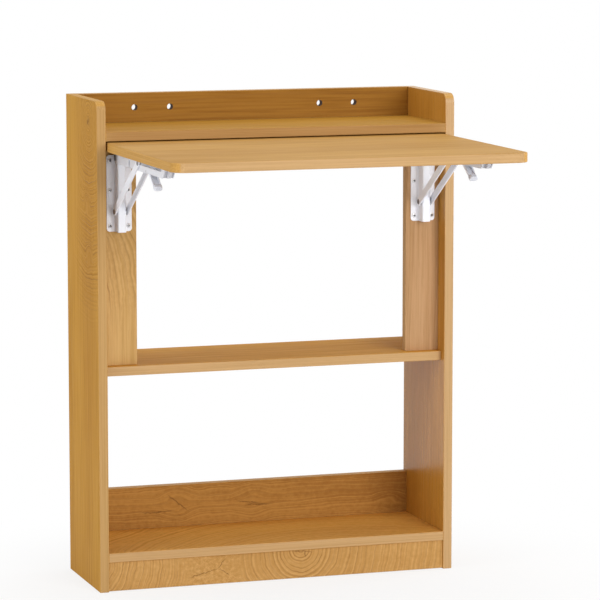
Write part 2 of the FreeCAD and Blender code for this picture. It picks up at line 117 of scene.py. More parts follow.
# Levels between which most of a noise lies, and between which it is spread for more contrast
NOISE_RANGE = (0.3, 0.7)
NOISE_MIDDLE = (0.35, 0.65)

# Agreement of a rounded and the plain normal, from no wear to full wear
CORNER_AGREEMENT = (0.99, 0.8)


class Shader:
    """A material or world being wired: each method adds nodes and gives an output socket."""

    def __init__(self, owner):
        self.owner = owner
        owner.use_nodes = True
        self.tree = owner.node_tree
        self.tree.nodes.clear()

    def add(self, kind, inputs=None, output=0, **settings):
        """New node; inputs maps a socket's name or number to a value or to another socket."""
        node = self.tree.nodes.new("ShaderNode" + kind)
        for key, value in settings.items():
            setattr(node, key, value)
        for key, value in (inputs or {}).items():
            if isinstance(value, bpy.types.NodeSocket):
                self.tree.links.new(value, node.inputs[key])
            else:
                node.inputs[key].default_value = value
        return node.outputs[output] if node.outputs else None

    def math(self, operation, *values):
        return self.add("Math", dict(enumerate(values)), operation=operation)

    def times(self, first, second):
        return self.math("MULTIPLY", first, second)

    def weigh(self, first, first_weight, second, second_weight):
        """Weighted sum of two values."""
        return self.math("MULTIPLY_ADD", first, first_weight, self.times(second, second_weight))

    def extreme(self, operation, values):
        """The MAXIMUM or MINIMUM of several values."""
        return functools.reduce(functools.partial(self.math, operation), values)

    def parts_of(self, vector):
        return [self.add("SeparateXYZ", {0: vector}, output=axis) for axis in "XYZ"]

    def place(self):
        return self.add("TexCoord", output="Object")

    def noise(self, point, rate, detail=2.0, roughness=0.5):
        """Noise that varies about rate times a metre: one number, or one for each axis."""
        rates = rate if isinstance(rate, tuple) else (rate,) * 3
        stretched = self.add("VectorMath", {0: point, 1: rates}, operation="MULTIPLY")
        return self.add("TexNoise", {"Vector": stretched, "Scale": 1.0, "Detail": detail,
                                     "Roughness": roughness})

    def ramp(self, value, low, high, to_low=0.0, to_high=1.0):
        """Value eased from the range low to high onto another range."""
        return self.add("MapRange", {0: value, 1: low, 2: high, 3: to_low, 4: to_high},
                        interpolation_type="SMOOTHSTEP")

    def mix(self, share, first, second):
        return self.add("Mix", {0: share, 6: first, 7: second}, output=2, data_type="RGBA")

    def bump(self, height, strength, distance):
        return self.add("Bump", {"Strength": strength, "Distance": distance, "Height": height})

    def corner_wear(self, reach):
        """One along sharp edges, falling to zero within reach of them."""
        rounded = self.add("Bevel", {"Radius": reach}, samples=4)
        plain = self.add("NewGeometry", output="Normal")
        agreement = self.add("VectorMath", {0: rounded, 1: plain}, output="Value",
                             operation="DOT_PRODUCT")
        return self.ramp(agreement, *CORNER_AGREEMENT)

    def seen(self):
        """One where the surface is seen directly, in a reflection or through glass."""
        rays = ("Is Camera Ray", "Is Glossy Ray", "Is Transmission Ray")
        return self.extreme("MAXIMUM", [self.add("LightPath", output=ray) for ray in rays])

    def finish(self, inputs):
        surface = self.add("BsdfPrincipled", inputs)
        self.add("OutputMaterial", {"Surface": surface})
        return self.owner


def material(name):
    return Shader(bpy.data.materials.new(name))


# Oak decor

# How often each noise varies per metre along the grain, across it and through the board
FINE_STREAKS = (6, 260, 260)
SLOW_SHADES = (1.7, 11, 11)
PORES = (38, 1100, 1100)
FLECKS = 150
LINE_PATCHES = (30, 60, 60)
BAND_STREAKS = (5, 800, 800)
END_STREAKS = (800, 5, 800)
CROTCH_FLECKS = 190
CROTCH_WEAVES = ((520, 110, 1), (110, 520, 1))

# Drifts push lines about: such a noise, and how far it pushes
RING_DRIFTS = ((17, 0.014), (70, 0.004))
STRAIGHT_DRIFTS = (((1.6, 7, 7), 0.05), ((7, 40, 40), 0.006))
WAVY_DRIFTS = (((3, 12, 12), 0.03), ((22, 60, 60), 0.008))
SPLIT_DRIFT = (150, 0.005)
CROTCH_DRIFT = ((40, 60, 60), 0.05)

# Rings have their stated spacing at RING_NEAR from their centre and widen from there
RING_POWER = 0.85
RING_NEAR = 0.02

# Two sets of rings flow into each other within this many rings
RING_MERGE = 1.5

# Reach of an eye and how far it lifts the rings; reach of a knot and how much it parts the lines
EYE_REACH = 0.026
EYE_DEPTH = 0.02
KNOT_REACH = 0.045
KNOT_PINCH = 0.85

# A year's line rises from LINE_START to LINE_PEAK of its width and ends sharply
LINE_START = 0.45
LINE_PEAK = 0.86
FAINTEST_YEAR = 0.3

# Fine streaks per growth line, and the share of such streaks beside flecks
FIBRE_RATE = 1.7
FIBRE_SHARE = 0.65

# Share of streaks beside slow shades in the colour, and what streaks and dark lines add to the relief
STREAK_SHARE = 0.6
STREAK_RELIEF = 0.3
LINE_RELIEF = -1.0

PORE_STRENGTH = 0.22
SPLIT_STRENGTH = 0.6
SPLIT_TAPER = 0.3
# Strength of the painted highlight on the eased arris
ARRIS_HIGHLIGHT_STRENGTH = 0.5
BORE_MARGINS = (0.002, 0.003)

# Levels of a noise between which pores, patches of lines and the deeper shade set in
PORE_LEVELS = (0.6, 0.72)
PATCH_LEVELS = (0.3, 0.6)
PATCH_STRENGTHS = (0.55, 1.0)
SHADE_LEVELS = (0.38, 0.62)

# Shares of the normal along an axis between which an edge, the eased arris with its painted highlight, and
# an end set in
ON_EDGE = (0.75, 0.5)
ON_HIGHLIT_ARRIS = ((0.55, 0.7), (0.95, 0.75))
ON_END = (0.4, 0.6)

# Specular level, then the least and the most roughness
MATT = (0.12, 0.54, 0.66)
SATIN = (0.22, 0.26, 0.34)


class Oak(Shader):
    """Oak decor on a board: u runs along the grain, v across it; the edges carry a paler band."""

    def __init__(self, name, grain, across, seed):
        super().__init__(bpy.data.materials.new(name))
        through = ({"X", "Y", "Z"} - {grain, across}).pop()
        place = dict(zip("XYZ", self.parts_of(self.place())))
        facing = dict(zip("XYZ", self.parts_of(self.add("TexCoord", output="Normal"))))
        self.axes = ("XYZ".index(grain), "XYZ".index(across))
        self.u, self.v = place[grain], place[across]
        self.point = self.add("CombineXYZ", {0: self.math("ADD", self.u, seed), 1: self.v,
                                             2: place[through]})
        self.flat = self.math("ABSOLUTE", facing[through])
        self.end = self.math("ABSOLUTE", facing[grain])

    def wavy(self, value, *drifts):
        """Value pushed to and fro by drifts."""
        for rate, reach in drifts:
            push = self.math("SUBTRACT", self.noise(self.point, rate), 0.5)
            value = self.math("MULTIPLY_ADD", push, reach, value)
        return value

    def fade(self, value, centre, reach):
        """One at centre, easing to zero at reach on either side."""
        return self.ramp(self.math("ABSOLUTE", self.math("SUBTRACT", value, centre)), reach, 0.0)

    def distance(self, centre):
        """Distance over the board from a point (u, v)."""
        along = self.math("SUBTRACT", self.u, centre[0])
        aside = self.math("SUBTRACT", self.v, centre[1])
        return self.math("SQRT", self.math("ADD", self.times(along, along), self.times(aside, aside)))

    def ring_phase(self, centre, spacing, eyes=()):
        """Growth rings counted out from a centre (u, v); they close round eyes (u, v)."""
        reach = self.wavy(self.distance(centre), *RING_DRIFTS)
        for eye in eyes:
            near = self.ramp(self.distance(eye), EYE_REACH, 0.0, 0.0, EYE_DEPTH)
            reach = self.math("ADD", reach, near)
        rings = 1 / (spacing * RING_POWER * RING_NEAR ** (RING_POWER - 1))
        swept = self.math("POWER", self.math("MAXIMUM", reach, 0.0), RING_POWER)
        return self.times(swept, rings)

    def straight_phase(self, spacing):
        """Growth lines counted across the board, wandering a little."""
        return self.math("DIVIDE", self.wavy(self.v, *STRAIGHT_DRIFTS), spacing)

    def knotty_phase(self, knots, spacing):
        """Wavy growth lines counted across the board, which part round knots (u, v)."""
        across = self.wavy(self.v, *WAVY_DRIFTS)
        for knot in knots:
            near = self.ramp(self.distance(knot), KNOT_REACH, 0.0, 0.0, -KNOT_PINCH)
            across = self.math("MULTIPLY_ADD", self.math("SUBTRACT", self.v, knot[1]), near, across)
        return self.math("DIVIDE", across, spacing)

    def straight_fibre(self):
        """Fine streaks along the board."""
        return self.noise(self.point, FINE_STREAKS, detail=4.0, roughness=0.6)

    def fibre(self, phase):
        """Fine streaks that follow the growth lines."""
        along = self.add("TexNoise", {"W": phase, "Scale": FIBRE_RATE, "Detail": 3.0},
                         noise_dimensions="1D")
        flecks = self.noise(self.point, FLECKS, detail=3.0)
        return self.weigh(along, FIBRE_SHARE, flecks, 1 - FIBRE_SHARE)

    def growth_lines(self, phase):
        """Thin dark line at the end of each year's growth; some years show more than others."""
        share = self.math("FRACT", phase)
        line = self.times(self.ramp(share, LINE_START, LINE_PEAK),
                          self.ramp(share, LINE_PEAK, 1.0, 1.0, 0.0))
        year = self.add("TexWhiteNoise", {"W": self.math("FLOOR", phase)}, noise_dimensions="1D")
        patches = self.noise(self.point, LINE_PATCHES, detail=3.0)
        patchy = self.ramp(patches, *PATCH_LEVELS, *PATCH_STRENGTHS)
        return self.times(self.times(line, patchy), self.ramp(year, 0.0, 1.0, FAINTEST_YEAR, 1.0))

    def split(self, start, end, width):
        """Dark hairline split from start to end, both (u, v), tapered at its ends."""
        run = (end[0] - start[0], end[1] - start[1])
        length = math.hypot(*run)
        along_u = self.math("SUBTRACT", self.u, start[0])
        along_v = self.math("SUBTRACT", self.v, start[1])
        share = self.weigh(along_u, run[0] / length ** 2, along_v, run[1] / length ** 2)
        aside = self.weigh(along_v, run[0] / length, along_u, -run[1] / length)
        aside = self.math("ABSOLUTE", self.wavy(aside, SPLIT_DRIFT))
        taper = self.times(self.ramp(share, 0.0, SPLIT_TAPER), self.ramp(share, 1.0, 1 - SPLIT_TAPER))
        return self.times(self.ramp(aside, width, 0.0), taper)

    def cracks(self, splits, width):
        """Several splits, each given as (start, end)."""
        return self.extreme("MAXIMUM", [self.split(start, end, width) for start, end in splits])

    def bored(self, node):
        """One well inside the outline of a square-cornered board, so on its edges only in bores."""
        low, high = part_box(node)
        gaps = []
        for place, axis in zip((self.u, self.v), self.axes):
            gaps += [self.math("SUBTRACT", place, low[axis]), self.math("SUBTRACT", high[axis], place)]
        return self.ramp(self.extreme("MINIMUM", gaps), *BORE_MARGINS)

    def banding(self, edge):
        """Edge band: paler, with fine streaks along the edge; end faces take a more golden band, which is
        painted warm shade.
        """
        lengthwise = self.ramp(self.noise(self.point, BAND_STREAKS, detail=3.0), *NOISE_MIDDLE)
        endwise = self.ramp(self.noise(self.point, END_STREAKS, detail=3.0), *NOISE_MIDDLE)
        on_end = self.ramp(self.end, *ON_END)
        return self.mix(on_end, self.mix(lengthwise, *edge), self.mix(endwise, *END_WARM_SHADE_TONE))

    def laminate(self, tone, streak, lines, splits=None, sheen=MATT, bores=None, edge=EDGE_TONE):
        """Finish the material from its fine streaks, its (dark lines, their strength) and its splits."""
        slow = self.noise(self.point, SLOW_SHADES, detail=3.0)
        pores = self.ramp(self.noise(self.point, PORES), *PORE_LEVELS)
        shade = self.weigh(streak, STREAK_SHARE, slow, 1 - STREAK_SHARE)
        face = self.mix(self.ramp(shade, *SHADE_LEVELS), *tone)
        dark = self.extreme("MAXIMUM", [self.times(pores, PORE_STRENGTH)]
                            + [self.times(line, strength) for line, strength in lines])
        face = self.mix(dark, face, OAK_LINE)
        if splits:
            face = self.mix(self.times(splits, SPLIT_STRENGTH), face, OAK_SPLIT)
        band = self.banding(edge)
        if bores:
            band = self.mix(bores, band, CORE)
        on_edge = self.ramp(self.flat, *ON_EDGE)
        # Painted highlight: the eased arris takes the pale edge colour
        highlit_arris = self.times(*(self.ramp(self.flat, *levels) for levels in ON_HIGHLIT_ARRIS))
        colour = self.mix(on_edge, face, band)
        relief = self.weigh(streak, STREAK_RELIEF, dark, LINE_RELIEF)
        specular, least_rough, most_rough = sheen
        return self.finish({
            "Base Color": self.mix(self.times(highlit_arris, ARRIS_HIGHLIGHT_STRENGTH), colour, edge[0]),
            "Roughness": self.ramp(streak, *NOISE_RANGE, least_rough, most_rough),
            "Specular IOR Level": specular,
            "Normal": self.bump(relief, strength=0.14, distance=0.0004),
        })


def plain_oak(name, grain, across, seed, tone, strength=0.2, spacing=0.009, sheen=MATT, bored=None,
              edge=EDGE_TONE):
    """Board with straight grain only."""
    wood = Oak(name, grain, across, seed)
    lines = wood.growth_lines(wood.straight_phase(spacing))
    return wood.laminate(tone, wood.straight_fibre(), [(lines, strength)], sheen=sheen,
                         bores=wood.bored(bored) if bored else None, edge=edge)


# Uprights

UPRIGHT_SPACING = 0.01

# The knot lies at shares of the side's height and depth; eyes are drops below it and steps to the wall
KNOT_HEIGHT_SHARE = 0.955
KNOT_DEPTH_SHARE = 0.27
KNOT_HEART = (0.012, 0.003)
HEART_LEVELS = (0.4, 0.55)
SIDE_EYES = ((0.126, 0.012), (0.208, 0.0))
SIDE_RING_SPACING = 0.0046
COLUMN_REACH = 0.12
COLUMN_FADE = (0.36, 0.22)
COLUMN_SHADE = 0.05
SIDE_LINE_STRENGTH = 0.2
POST_RING_SPACING = 0.0052
POST_FADE = 0.04
POST_LINE_STRENGTH = 0.12
POST_RING_STRENGTH = 0.5
LEFT_POST_ARCS = (0.45, -0.56)

# Rings strengthen between two distances from the knot, from the first strength to the second
COLUMN_RINGS = (0.03, 0.1, 0.5, 0.8)


def side_oak(name, seed, tone):
    """Upright board with a column of arcs hanging below a small knot."""
    wood = Oak(name, "Z", "Y", seed)
    low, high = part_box("left_side_panel")
    knot = (low.z + KNOT_HEIGHT_SHARE * (high.z - low.z), low.y + KNOT_DEPTH_SHARE * (high.y - low.y))
    eyes = [(knot[0] - drop, knot[1] + step) for drop, step in SIDE_EYES]
    column = wood.times(wood.fade(wood.v, knot[1], COLUMN_REACH),
                        wood.ramp(wood.u, *(knot[0] - drop for drop in COLUMN_FADE)))
    rings = wood.ring_phase(knot, SIDE_RING_SPACING, eyes)
    fibre = wood.mix(column, wood.straight_fibre(), wood.fibre(rings))
    heart = wood.times(wood.ramp(wood.distance(knot), *KNOT_HEART),
                       wood.ramp(wood.noise(wood.point, FLECKS), *HEART_LEVELS))
    lines = [
        (wood.growth_lines(wood.straight_phase(UPRIGHT_SPACING)), SIDE_LINE_STRENGTH),
        (column, COLUMN_SHADE),
        (wood.growth_lines(rings), wood.times(column, wood.ramp(wood.distance(knot), *COLUMN_RINGS))),
    ]
    return wood.laminate(tone, fibre, lines, heart, edge=LEFT_SIDE_EDGE_SHADED_TONE)


def post_oak(name, seed, tone, centre):
    """Narrow upright with arcs swung about a point (z, x) beside it."""
    wood = Oak(name, "Z", "X", seed)
    rings = wood.ring_phase(centre, POST_RING_SPACING)
    above = wood.ramp(wood.u, centre[0] - POST_FADE, centre[0] + POST_FADE)
    fibre = wood.mix(above, wood.straight_fibre(), wood.fibre(rings))
    lines = [
        (wood.growth_lines(wood.straight_phase(UPRIGHT_SPACING)), POST_LINE_STRENGTH),
        (wood.growth_lines(rings), wood.times(above, POST_RING_STRENGTH)),
    ]
    return wood.laminate(tone, fibre, lines)


# Boards along X

# Points are (x, y) on a shelf and (x, z) on a rail or the kick board
SHELF_CENTRES = ((0.1, -0.1), (-0.5, 0.5))
SHELF_RING_SPACING = 0.007
SHELF_RING_STRENGTH = 0.24
RAIL_KNOTS = ((0.01, 0.096), (-0.12, 0.1), (0.25, 0.075))
RAIL_SPLITS = (((-0.14, 0.12), (-0.098, 0.085)), ((-0.19, 0.088), (-0.12, 0.09)),
               ((-0.02, 0.1), (0.03, 0.093)), ((-0.005, 0.094), (0.045, 0.09)))
RAIL_SPLIT_WIDTH = 0.0016
RAIL_SPACING = 0.006
RAIL_LINE_STRENGTH = 0.4
KICK_ARCS = (-0.318, 0.043)
KICK_ARC_SPACING = 0.0042
KICK_ARC_STRENGTH = 0.55
KICK_EYE = (0.039, 0.047)
KICK_EYE_SPACING = 0.0058
KICK_CROTCH = (-0.16, -0.065)
KICK_CROTCH_FADE = 0.02
WEAVE_LEVELS = (0.52, 0.66)
WEAVE_STRENGTH = 0.2
KICK_SPLITS = (((-0.155, 0.013), (-0.098, 0.027)), ((-0.104, 0.024), (-0.088, 0.044)),
               ((-0.1, 0.027), (-0.082, 0.012)), ((0.02, 0.047), (0.062, 0.043)),
               ((0.044, 0.05), (0.047, 0.033)))
KICK_SPLIT_WIDTH = 0.0012

# Rings strengthen between two distances from the eye, from the first strength to the second
KICK_EYE_RINGS = (0.09, 0.02, 0.42, 0.56)


def shelf_oak(name, seed, tone):
    """Shelf whose lines ring two far centres."""
    wood = Oak(name, "X", "Y", seed)
    phases = [wood.ring_phase(centre, SHELF_RING_SPACING) for centre in SHELF_CENTRES]
    phase = wood.math("SMOOTH_MIN", *phases, RING_MERGE)
    return wood.laminate(tone, wood.fibre(phase), [(wood.growth_lines(phase), SHELF_RING_STRENGTH)])


def knotty_oak(name, seed, tone):
    """Rail with wavy grain that parts round cracked knots."""
    wood = Oak(name, "X", "Z", seed)
    phase = wood.knotty_phase(RAIL_KNOTS, RAIL_SPACING)
    return wood.laminate(tone, wood.fibre(phase), [(wood.growth_lines(phase), RAIL_LINE_STRENGTH)],
                         wood.cracks(RAIL_SPLITS, RAIL_SPLIT_WIDTH))


def crotch_oak(name, seed, tone):
    """Kick board: close arcs at its left end, then a tangled crotch, then rings about an eye."""
    wood = Oak(name, "X", "Z", seed)
    place = wood.wavy(wood.u, CROTCH_DRIFT)
    start, end = KICK_CROTCH
    on_left = wood.ramp(place, start + KICK_CROTCH_FADE, start - KICK_CROTCH_FADE)
    on_right = wood.ramp(place, end - KICK_CROTCH_FADE, end + KICK_CROTCH_FADE)
    in_crotch = wood.math("SUBTRACT", 1.0, wood.math("MAXIMUM", on_left, on_right))
    arcs = wood.ring_phase(KICK_ARCS, KICK_ARC_SPACING)
    rings = wood.ring_phase(KICK_EYE, KICK_EYE_SPACING)
    near_eye = wood.ramp(wood.distance(KICK_EYE), *KICK_EYE_RINGS)
    slant = wood.add("CombineXYZ", {0: wood.math("ADD", wood.u, wood.v),
                                    1: wood.math("SUBTRACT", wood.u, wood.v)})
    weave = wood.extreme("MAXIMUM", [wood.ramp(wood.noise(slant, rates, detail=3.0), *WEAVE_LEVELS)
                                     for rates in CROTCH_WEAVES])
    tangle = wood.noise(wood.point, CROTCH_FLECKS, detail=3.0)
    fibre = wood.mix(on_right, wood.mix(on_left, tangle, wood.fibre(arcs)), wood.fibre(rings))
    lines = [
        (wood.growth_lines(arcs), wood.times(on_left, KICK_ARC_STRENGTH)),
        (wood.growth_lines(rings), wood.times(on_right, near_eye)),
        (weave, wood.times(in_crotch, WEAVE_STRENGTH)),
    ]
    return wood.laminate(tone, fibre, lines, wood.cracks(KICK_SPLITS, KICK_SPLIT_WIDTH))


# Dowels

BEECH_GRAIN = (180, 900, 900)


def beech(name):
    """Turned beech of the dowels."""
    wood = material(name)
    grain = wood.noise(wood.place(), BEECH_GRAIN, detail=3.0)
    return wood.finish({
        "Base Color": wood.mix(wood.ramp(grain, *NOISE_MIDDLE), *BEECH_TONE),
        "Roughness": 0.6,
        "Normal": wood.bump(grain, strength=0.2, distance=0.0003),
    })


# Metal and plastic

# How often each noise varies per metre
COAT_PEEL = 850
COAT_CLOUDS = 25
ZINC_CLOUDS = 160
ZINC_BRUSHING = (2600, 900, 2600)
PLASTIC_CLOUDS = 60
PLASTIC_GRAIN = 1500

# Least and most roughness, or the spread to either side
COAT_ROUGHNESS = (0.3, 0.4)
ZINC_ROUGHNESS = (0.28, 0.44)
PLASTIC_SPREAD = 0.05

COAT_WEAR_REACH = 0.0007
COAT_WEAR_LEVELS = (0.4, 0.6)
COAT_WEAR_STRENGTHS = (0.25, 0.75)
ZINC_LEVELS = (0.35, 0.7)
# Reach and levels of the painted shade in hollows
HOLLOW_SHADE_REACH = 0.003
HOLLOW_SHADE_LEVELS = (0.6, 0.92)
SCATTER_RADIUS = (0.002, 0.002, 0.002)


def powder_coat(name, colour):
    """White powder coat: fine orange peel, thin and grey along sharp edges."""
    coat = material(name)
    place = coat.place()
    peel = coat.noise(place, COAT_PEEL)
    cloud = coat.noise(place, COAT_CLOUDS)
    wear = coat.times(coat.corner_wear(COAT_WEAR_REACH),
                      coat.ramp(cloud, *COAT_WEAR_LEVELS, *COAT_WEAR_STRENGTHS))
    return coat.finish({
        "Base Color": coat.mix(wear, colour, COAT_WORN),
        "Roughness": coat.ramp(cloud, *NOISE_RANGE, *COAT_ROUGHNESS),
        "Normal": coat.bump(peel, strength=0.12, distance=0.0002),
    })


def zinc_plate(name, tone):
    """Plated steel, with painted shade where it is hollow."""
    metal = material(name)
    place = metal.place()
    cloud = metal.noise(place, ZINC_CLOUDS, detail=3.0)
    brush = metal.noise(place, ZINC_BRUSHING)
    # Painted shade: ambient occlusion darkens the plate in its hollows
    unshaded = metal.add("AmbientOcclusion", {"Distance": HOLLOW_SHADE_REACH}, output="AO", samples=8,
                         only_local=True)
    plate = metal.mix(metal.ramp(cloud, *ZINC_LEVELS), *tone)
    return metal.finish({
        "Base Color": metal.mix(metal.ramp(unshaded, *HOLLOW_SHADE_LEVELS), HOLLOW_PAINTED_SHADE, plate),
        "Metallic": 1.0,
        "Roughness": metal.ramp(brush, *NOISE_RANGE, *ZINC_ROUGHNESS),
        "Normal": metal.bump(brush, strength=0.08, distance=0.0001),
    })


def moulded(name, tone, rough, scatter=0.0):
    """Moulded plastic with a fine spark-eroded texture."""
    plastic = material(name)
    place = plastic.place()
    cloud = plastic.noise(place, PLASTIC_CLOUDS)
    grain = plastic.noise(place, PLASTIC_GRAIN)
    return plastic.finish({
        "Base Color": plastic.mix(plastic.ramp(cloud, *NOISE_RANGE), *tone),
        "Roughness": plastic.ramp(grain, *NOISE_RANGE, rough - PLASTIC_SPREAD, rough + PLASTIC_SPREAD),
        "Subsurface Weight": scatter,
        "Subsurface Radius": SCATTER_RADIUS,
        "Normal": plastic.bump(grain, strength=0.1, distance=0.0001),
    })


# Finishes of the CAD nodes; each board's seed gives it grain of its own

def dress(finish, *names):
    """Give CAD nodes one material."""
    for name in names:
        slots = nodes[name].data.materials
        slots.clear()
        slots.append(finish)


def bracket(name):
    return [side + "_bracket_" + name for side in SIDES]


zinc = zinc_plate("zinc_plate", ZINC_TONE)
bright_screw = zinc_plate("bright_screw", SCREW_TONE)
# Rivet steel, darkened partly as a painted dim reflection
rivet_steel_dim_reflection = zinc_plate("rivet_steel_dim_reflection", RIVET_STEEL_DIM_REFLECTION_TONE)
white_coat = powder_coat("white_powder_coat", COAT_WHITE)

dress(side_oak("oak_left_side", 3.1, SIDE_TONE), "left_side_panel")
dress(plain_oak("oak_right_side", "Z", "Y", 4.4, INNER_TONE, strength=0.12, sheen=SATIN), "right_side_panel")
dress(plain_oak("oak_top_shelf", "X", "Y", 5.3, TOP_SHELF_SHADED_TONE, edge=TOP_EDGE_SHADED_TONE), "top_shelf")
dress(plain_oak("oak_middle_shelf", "X", "Y", 9.7, MIDDLE_SHELF_LIT_TONE), "middle_shelf")
dress(plain_oak("oak_desk", "X", "Y", 14.2, DESK_TONE, strength=0.16, spacing=0.012), "desk_board")
dress(shelf_oak("oak_bottom_shelf", 21.4, BOTTOM_SHELF_LIT_TONE), "bottom_shelf")
dress(plain_oak("oak_top_rail", "X", "Z", 25.9, TOP_RAIL_SHADED_TONE, strength=0.3, spacing=0.011,
                bored="top_back_rail"), "top_back_rail")
dress(knotty_oak("oak_bottom_rail", 31.6, BOTTOM_RAIL_DECOR_AND_SHADE_TONE), "bottom_back_rail")
dress(crotch_oak("oak_kick", 37.2, FRONT_SHEEN_TONE), "kick_board")
dress(post_oak("oak_left_post", 41.3, LEFT_POST_SHEEN_TONE, LEFT_POST_ARCS), "left_bracket_post")
dress(plain_oak("oak_right_post", "Z", "X", 47.8, RIGHT_POST_SHADED_TONE, strength=0.22), "right_bracket_post")
dress(beech("beech_dowels"), "wooden_dowels")
dress(zinc, "cam_locks", "cam_bolts")
for piece in ("base", "left_strut", "right_strut", "release_lever"):
    dress(white_coat, *bracket(piece))
for piece in ("arm_screws", "strut_spacers", "slide_pin", "lever_pin"):
    dress(zinc, *bracket(piece))
# The arms' coat is the white coat darkened as painted shade
dress(powder_coat("arm_powder_coat_painted_shade", COAT_ARM_SHADED), *bracket("arm"))
dress(moulded("cap_plastic", CAP_TONE, rough=0.45), *bracket("arm_end_cap"))
dress(moulded("grip_plastic", GRIP_TONE, rough=0.3, scatter=0.2), *bracket("lever_grip"))
dress(moulded("slide_plastic", SLIDE_TONE, rough=0.4), *bracket("slide_block"))


# Turned fasteners: domed rivets and cross-recess screws in place of the plain solids

TURNED_SIDES = 32
DOME_STEPS = 6
SMOOTH_ANGLE = math.radians(35)
WELD_DISTANCE = 1e-6
ON_AXIS = 1e-7
RIVET_HEAD_HEIGHT = 0.0013
RIVET_HEAD_MARGIN = 0.0018
SCREW_HEAD_HEIGHT = 0.0018
SCREW_RIM_HEIGHT = SCREW_HEAD_HEIGHT / 3
SCREW_RADIUS = 0.002
RECESS_DEPTH = 0.0013
RECESS_REACH = 0.0021
RECESS_HALF_WIDTH = 0.0009
RECESS_FLOOR_SHARE = 0.5


def placed(name, data):
    """New object in the scene."""
    thing = bpy.data.objects.new(name, data)
    scene.collection.objects.link(thing)
    return thing


def solid_boxes(name):
    """Lowest and highest corner of each separate solid in a CAD node."""
    mesh = bmesh.new()
    mesh.from_mesh(nodes[name].data)
    bmesh.ops.remove_doubles(mesh, verts=mesh.verts, dist=WELD_DISTANCE)
    left, boxes = set(mesh.verts), []
    while left:
        ahead = [left.pop()]
        members = list(ahead)
        while ahead:
            reached = [other for link in ahead.pop().link_edges for other in link.verts if other in left]
            left.difference_update(reached)
            members += reached
            ahead += reached
        places = [vertex.co for vertex in members]
        boxes.append(tuple(Vector([pick(place[axis] for place in places) for axis in range(3)])
                           for pick in (min, max)))
    mesh.free()
    return sorted(boxes, key=lambda box: tuple(box[0]))


def dome(radius, seat, height):
    """Profile of a domed head from its rim at the seat to its crown."""
    turns = [step / DOME_STEPS * math.pi / 2 for step in range(DOME_STEPS + 1)]
    return [(radius * math.cos(turn), seat + height * math.sin(turn)) for turn in turns]


def turned(profile):
    """Closed mesh turned about Z from (radius, height) points; its first and last lie on the axis."""
    mesh = bmesh.new()
    turns = [2 * math.pi * side / TURNED_SIDES for side in range(TURNED_SIDES)]
    rings = []
    for radius, height in profile:
        if radius < ON_AXIS:
            ring = [(0, 0, height)]
        else:
            ring = [(radius * math.cos(turn), radius * math.sin(turn), height) for turn in turns]
        rings.append([mesh.verts.new(point) for point in ring])
    for lower, upper in zip(rings, rings[1:]):
        for side in range(TURNED_SIDES):
            after = (side + 1) % TURNED_SIDES
            corners = [lower[side % len(lower)], lower[after % len(lower)],
                       upper[after % len(upper)], upper[side % len(upper)]]
            mesh.faces.new(list(dict.fromkeys(corners)))
    return mesh


def cross_recess(top):
    """Tapered cross that cuts a screw's drive; it has its full size at the head's crown, at height top."""
    half = RECESS_HALF_WIDTH
    quarter = [(RECESS_REACH, -half), (RECESS_REACH, half), (half, half)]
    outline = [Matrix.Rotation(turn * math.pi / 2, 2) @ Vector(point)
               for turn in range(4) for point in quarter]
    mesh = bmesh.new()
    # Straight taper: as much larger above the crown as it is smaller below
    above, below = 2 - RECESS_FLOOR_SHARE, RECESS_FLOOR_SHARE
    mouth = [mesh.verts.new((above * x, above * y, top + RECESS_DEPTH)) for x, y in outline]
    foot = [mesh.verts.new((below * x, below * y, top - RECESS_DEPTH)) for x, y in outline]
    mesh.faces.new(mouth)
    mesh.faces.new(foot[::-1])
    for place in range(len(outline)):
        after = (place + 1) % len(outline)
        mesh.faces.new([mouth[place], foot[place], foot[after], mouth[after]])
    return mesh


def shown(mesh, name):
    """Object made from a bmesh, which is used up."""
    bmesh.ops.recalc_face_normals(mesh, faces=mesh.faces)
    data = bpy.data.meshes.new(name)
    mesh.to_mesh(data)
    mesh.free()
    return placed(name, data)


def recessed(blank, top):
    """A turned screw with its cross recess cut, as a bmesh."""
    body, cutter = shown(blank, "screw_blank"), shown(cross_recess(top), "screw_recess")
    cut = body.modifiers.new("recess", "BOOLEAN")
    cut.object, cut.operation, cut.solver = cutter, "DIFFERENCE", "EXACT"
    data = bpy.data.meshes.new_from_object(body.evaluated_get(bpy.context.evaluated_depsgraph_get()))
    mesh = bmesh.new()
    mesh.from_mesh(data)
    for spare in (body, cutter):
        used = spare.data
        bpy.data.objects.remove(spare)
        bpy.data.meshes.remove(used)
    bpy.data.meshes.remove(data)
    return mesh


def along_x(mesh, middle, hand):
    """Turned bmesh laid along X through a point, its +Z end to the right where hand is 1."""
    mesh.transform(Matrix.Translation(middle) @ Matrix.Rotation(hand * math.pi / 2, 4, "Y"))
    return mesh


def rivet_end(half, radius):
    """Profile of a rivet's domed end, from its shank to the crown at half its length."""
    seat = half - RIVET_HEAD_HEIGHT
    return [(radius - RIVET_HEAD_MARGIN, seat)] + dome(radius, seat, RIVET_HEAD_HEIGHT)


def double_rivet(low, high):
    """Pin across a bracket with a domed head at each end."""
    right = rivet_end((high.x - low.x) / 2, (high.z - low.z) / 2)
    left = [(reach, -height) for reach, height in reversed(right)]
    return along_x(turned(left + right), (low + high) / 2, 1)


def single_rivet(low, high, hand):
    """Rivet through one strut, its domed head on the outer side."""
    half, radius = (high.x - low.x) / 2, (high.z - low.z) / 2
    shank = [(0, -half), (radius - RIVET_HEAD_MARGIN, -half)]
    return along_x(turned(shank + rivet_end(half, radius)), (low + high) / 2, hand)


